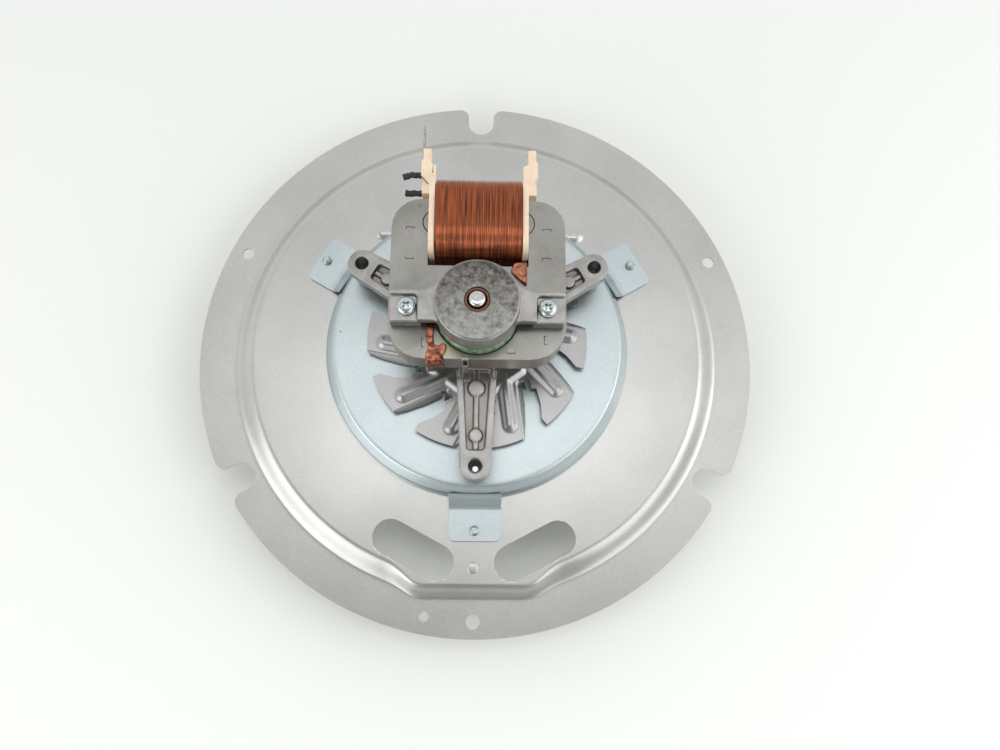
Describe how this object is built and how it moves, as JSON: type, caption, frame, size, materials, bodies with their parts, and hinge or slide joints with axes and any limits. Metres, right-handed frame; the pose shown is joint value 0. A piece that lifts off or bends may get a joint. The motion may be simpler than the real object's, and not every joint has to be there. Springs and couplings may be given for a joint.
{
  "type": "range convection fan",
  "caption": "Oven convection fan: a shaded pole motor with a stamped cooling fan on a round galvanised back plate, and a bladed hot air wheel behind it",
  "frame": {"origin": "on the shaft axis, in the plane that the impeller's blades stand on, at the middle of the bottom of the part's box", "axes": "+Z runs along the shaft from the oven side to the motor side; +Y points from the shaft to the coil; +X completes the right-handed frame"},
  "size_m": [0.25, 0.2495, 0.0932],
  "materials": {
    "galvanised_sheet": "galvanised sheet, soft sheen, light warm grey",
    "zinc_plated_sheet": "zinc plated sheet, bluish light grey",
    "die_cast_alloy": "die-cast alloy, mottled grey, as cast",
    "lamination_steel": "stamped lamination steel, darker grey, thin varnish",
    "bright_steel": "bright steel, zinc plated or ground",
    "enamelled_copper": "enamelled copper wire, dark reddish brown, glossy",
    "bare_copper": "bare copper strap, slightly tarnished",
    "bobbin_plastic": "moulded cream plastic",
    "black_sleeving": "black sleeving",
    "tinned_brass": "tinned brass",
    "bronze": "sintered bronze",
    "oiled_felt": "oiled felt",
    "green_lacquer": "green lacquered steel"
  },
  "bodies": {
    "frame": {"back_plate": "galvanised_sheet", "motor_disc": "zinc_plated_sheet", "disc_screw_1": "bright_steel", "disc_screw_2": "bright_steel", "disc_screw_3": "bright_steel", "motor_screw_1": "bright_steel", "motor_screw_2": "bright_steel", "motor_screw_3": "bright_steel", "lower_bracket": "die_cast_alloy", "upper_bracket": "die_cast_alloy", "bracket_screw_left": "bright_steel", "bracket_screw_right": "bright_steel", "stator_stack": "lamination_steel", "coil_core": "lamination_steel", "bobbin": "bobbin_plastic", "winding": "enamelled_copper", "spade_terminal": "tinned_brass", "lead_sleeve_upper": "black_sleeving", "lead_sleeve_lower": "black_sleeving", "shading_ring_left": "bare_copper", "shading_ring_right": "bare_copper", "upper_bearing": "bronze", "lower_bearing": "bronze", "upper_felt": "oiled_felt", "lower_felt": "oiled_felt", "upper_retainer": "bright_steel", "lower_retainer": "bright_steel"},
    "turning": {"shaft": "bright_steel", "rotor": "green_lacquer", "upper_collar": "bright_steel", "lower_collar": "bright_steel", "cooling_fan": "zinc_plated_sheet", "fan_bush": "bright_steel", "fan_clip": "bright_steel", "impeller": "galvanised_sheet", "impeller_washer": "bright_steel", "impeller_nut": "bright_steel"}
  },
  "joints": [
    {"name": "shaft_spin", "type": "hinge", "parent": "frame", "child": "turning", "pos_m": [0, 0, 0], "axis": [0, 0, 1], "continuous": true}
  ]
}
